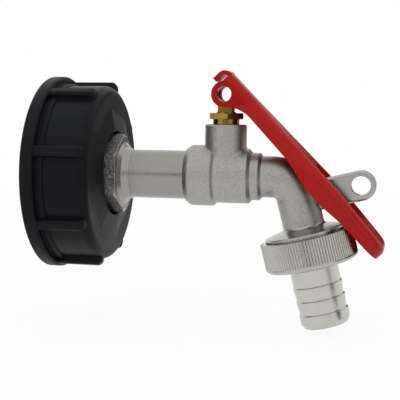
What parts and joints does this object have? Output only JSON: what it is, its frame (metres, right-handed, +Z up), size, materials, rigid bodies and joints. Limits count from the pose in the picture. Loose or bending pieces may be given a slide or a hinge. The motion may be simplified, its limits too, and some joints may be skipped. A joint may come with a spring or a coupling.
{
  "type": "ibc tap adapter",
  "caption": "Screw cap adapter for a bulk liquid tank with a lockable lever ball tap, bent spout, knurled union nut and barbed hose tail.",
  "frame": {"origin": "centre of the cap's open end, on the pipe's axis", "axes": "+X along the pipe from the cap towards the spout, +Z up along the stem, -Y towards the side that the picture shows"},
  "size_m": [0.1385, 0.08, 0.1042],
  "materials": {
    "cap_plastic": "moulded, slightly satin",
    "gasket_rubber": "smooth",
    "nickel": "satin nickel plating",
    "bright_nickel": "polished plating",
    "brass": "machined",
    "seal_white": "smooth",
    "lever_coating": "glossy red coating",
    "spring_steel": "plain"
  },
  "bodies": {
    "tap": {"threaded_cap": "cap_plastic", "cap_gasket": "gasket_rubber", "collar_gasket": "gasket_rubber", "inlet_connector": "nickel", "valve_body": "nickel", "seat_ring_inlet": "seal_white", "seat_ring_outlet": "seal_white", "thrust_washer": "seal_white", "packing_ring_lower": "seal_white", "packing_ring_upper": "seal_white", "gland_nut": "brass"},
    "stem_and_ball": {"stem": "brass", "stem_clip": "spring_steel", "stem_o_ring": "gasket_rubber", "ball": "bright_nickel"},
    "lever": {"lever": "lever_coating"},
    "tail": {"hose_tail": "nickel", "union_washer": "gasket_rubber"},
    "nut": {"union_nut": "nickel"}
  },
  "joints": [
    {"name": "stem_turn", "type": "hinge", "parent": "tap", "child": "stem_and_ball", "pos_m": [0.0736, 0, 0], "axis": [0, 0, 1], "range_deg": [0, 4.9]},
    {"name": "lever_lift", "type": "hinge", "parent": "stem_and_ball", "child": "lever", "pos_m": [0.0736, 0, 0.0332], "axis": [-0.0366, -0.9993, 0], "range_deg": [0, 110]},
    {"name": "tail_slide", "type": "slide", "parent": "tap", "child": "tail", "axis": [0.2453, 0, -0.9694], "range_m": [0, 0.006]},
    {"name": "nut_spin", "type": "hinge", "parent": "tail", "child": "nut", "pos_m": [0.10856, 0, -0.02908], "axis": [0.2453, 0, -0.9694], "range_deg": [0, 930]}
  ],
  "couplings": [
    {"joint": "tail_slide", "follows": "nut_spin", "m_per_rad": 0.00036749}
  ]
}
